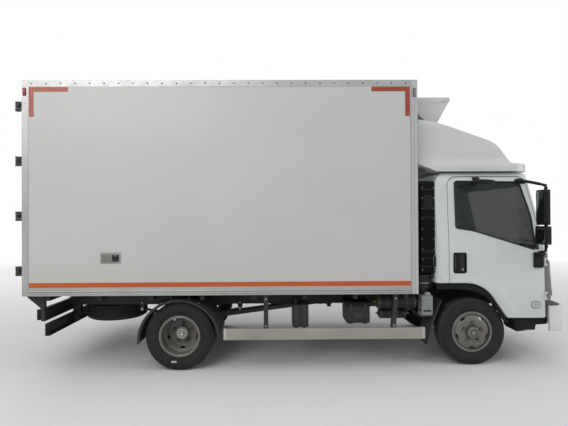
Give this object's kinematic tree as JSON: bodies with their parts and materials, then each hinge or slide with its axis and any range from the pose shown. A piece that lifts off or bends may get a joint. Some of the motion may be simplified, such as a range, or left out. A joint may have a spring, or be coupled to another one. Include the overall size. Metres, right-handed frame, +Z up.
{
  "type": "refrigerated truck",
  "caption": "Light cab-over truck with tilting cab, roof spoiler, insulated box body with cooling unit and double rear doors, twin rear wheels and side guards",
  "frame": {"origin": "on the ground, under the middle of the overall length and width", "axes": "+X to the front of the truck, +Y to its left side, +Z up"},
  "size_m": [6.255, 2.47, 3.2419],
  "materials": {
    "chassis_paint": "satin black chassis paint under road dust",
    "cast_parts": "dark cast and forged iron",
    "spring_steel": "dark spring steel",
    "tank_metal": "dark grey painted steel",
    "bare_steel": "dull bare steel",
    "white_plastic": "translucent white plastic",
    "guard_paint": "light grey paint, weathered",
    "black_plastic": "grained black plastic",
    "tyre_rubber": "dusty tyre rubber",
    "rim_paint": "silver grey rim paint with brake dust",
    "lamp_red": "red lamp lens",
    "cab_paint": "cool white gloss paint",
    "spoiler_paint": "warm off-white gloss paint",
    "box_panel": "warm white moulded panel skin",
    "box_trim": "anodised aluminium",
    "unit_plastic": "off-white moulded covers",
    "tinted_glass": "lightly tinted glass",
    "grey_plastic": "dark grey plastic",
    "lamp_clear": "clear lamp lens",
    "interior_plastic": "grained dark grey plastic",
    "seat_cloth": "woven dark grey cloth"
  },
  "bodies": {
    "chassis": {"frame_rails": "chassis_paint", "cross_members": "chassis_paint", "frame_brackets": "chassis_paint", "front_axle": "cast_parts", "rear_axle": "cast_parts", "leaf_springs": "spring_steel", "driveline": "cast_parts", "side_units": "chassis_paint", "fuel_tank": "tank_metal", "silencer": "bare_steel", "coolant_bottle": "white_plastic", "side_guards": "guard_paint", "mudguards": "black_plastic", "spare_tyre": "tyre_rubber", "spare_rim": "rim_paint", "rear_bars": "chassis_paint", "rear_lamps": "lamp_red", "bumper": "cab_paint", "box_floor": "box_panel", "box_sides": "box_panel", "box_front": "box_panel", "box_roof": "box_panel", "rear_frame": "bare_steel", "box_trims": "box_trim", "cooling_unit": "unit_plastic"},
    "tie_rod": {"tie_rod": "cast_parts"},
    "cab": {"cab_back": "cab_paint", "cab_front": "cab_paint", "cab_roof": "cab_paint", "cab_floor": "chassis_paint", "cab_glass": "tinted_glass", "nose_trim": "grey_plastic", "headlamps": "lamp_clear", "spoiler": "spoiler_paint", "step_wells": "black_plastic", "air_intake": "black_plastic", "cab_interior": "interior_plastic", "seats": "seat_cloth"},
    "steering_wheel": {"steering_wheel": "interior_plastic"},
    "door_left": {"door_left": "cab_paint", "door_glass_left": "tinted_glass", "mirrors_left": "black_plastic"},
    "cargo_door_left": {"cargo_door_left": "box_panel", "cargo_locks_left": "bare_steel"},
    "knuckle_left": {"knuckle_left": "cast_parts"},
    "wheel_front_left": {"front_tyre_left": "tyre_rubber", "front_rim_left": "rim_paint"},
    "wheel_rear_left": {"rear_tyres_left": "tyre_rubber", "rear_rims_left": "rim_paint"},
    "door_right": {"door_right": "cab_paint", "door_glass_right": "tinted_glass", "mirrors_right": "black_plastic"},
    "cargo_door_right": {"cargo_door_right": "box_panel", "cargo_locks_right": "bare_steel"},
    "knuckle_right": {"knuckle_right": "cast_parts"},
    "wheel_front_right": {"front_tyre_right": "tyre_rubber", "front_rim_right": "rim_paint"},
    "wheel_rear_right": {"rear_tyres_right": "tyre_rubber", "rear_rims_right": "rim_paint"}
  },
  "joints": [
    {"name": "cab_tilt", "type": "hinge", "parent": "chassis", "child": "cab", "pos_m": [2.8675, 0, 0.68], "axis": [0, 1, 0], "range_deg": [0, 45]},
    {"name": "tie_rod_slide", "type": "slide", "parent": "chassis", "child": "tie_rod", "axis": [0, 1, 0], "range_m": [-0.111, 0.111]},
    {"name": "steering_wheel_turn", "type": "hinge", "parent": "cab", "child": "steering_wheel", "pos_m": [2.5175, 0.46, 1.43], "axis": [-0.5299, 0, 0.848], "range_deg": [-512, 512]},
    {"name": "cab_door_left", "type": "hinge", "parent": "cab", "child": "door_left", "pos_m": [2.8295, 0.993, 1.3], "axis": [0, 0, -1], "range_deg": [0, 65]},
    {"name": "cargo_door_left", "type": "hinge", "parent": "chassis", "child": "cargo_door_left", "pos_m": [-3.1035, 1.072, 2], "axis": [0, 0, -1], "range_deg": [0, 255]},
    {"name": "steer_left", "type": "hinge", "parent": "chassis", "child": "knuckle_left", "pos_m": [2.0175, 0.715, 0.38], "axis": [0, 0, 1], "range_deg": [-32, 32]},
    {"name": "wheel_front_left", "type": "hinge", "parent": "knuckle_left", "child": "wheel_front_left", "pos_m": [2.0175, 0.84, 0.38], "axis": [0, 1, 0], "continuous": true},
    {"name": "wheel_rear_left", "type": "hinge", "parent": "chassis", "child": "wheel_rear_left", "pos_m": [-1.3275, 0.824, 0.38], "axis": [0, 1, 0], "continuous": true},
    {"name": "cab_door_right", "type": "hinge", "parent": "cab", "child": "door_right", "pos_m": [2.8295, -0.993, 1.3], "axis": [0, 0, 1], "range_deg": [0, 65]},
    {"name": "cargo_door_right", "type": "hinge", "parent": "chassis", "child": "cargo_door_right", "pos_m": [-3.1035, -1.072, 2], "axis": [0, 0, 1], "range_deg": [0, 255]},
    {"name": "steer_right", "type": "hinge", "parent": "chassis", "child": "knuckle_right", "pos_m": [2.0175, -0.715, 0.38], "axis": [0, 0, 1], "range_deg": [-32, 32]},
    {"name": "wheel_front_right", "type": "hinge", "parent": "knuckle_right", "child": "wheel_front_right", "pos_m": [2.0175, -0.84, 0.38], "axis": [0, 1, 0], "continuous": true},
    {"name": "wheel_rear_right", "type": "hinge", "parent": "chassis", "child": "wheel_rear_right", "pos_m": [-1.3275, -0.824, 0.38], "axis": [0, 1, 0], "continuous": true}
  ],
  "couplings": [
    {"joint": "steer_right", "follows": "steer_left", "ratio": 1},
    {"joint": "tie_rod_slide", "follows": "steer_left", "m_per_rad": -0.197},
    {"joint": "steering_wheel_turn", "follows": "steer_left", "ratio": 16}
  ]
}
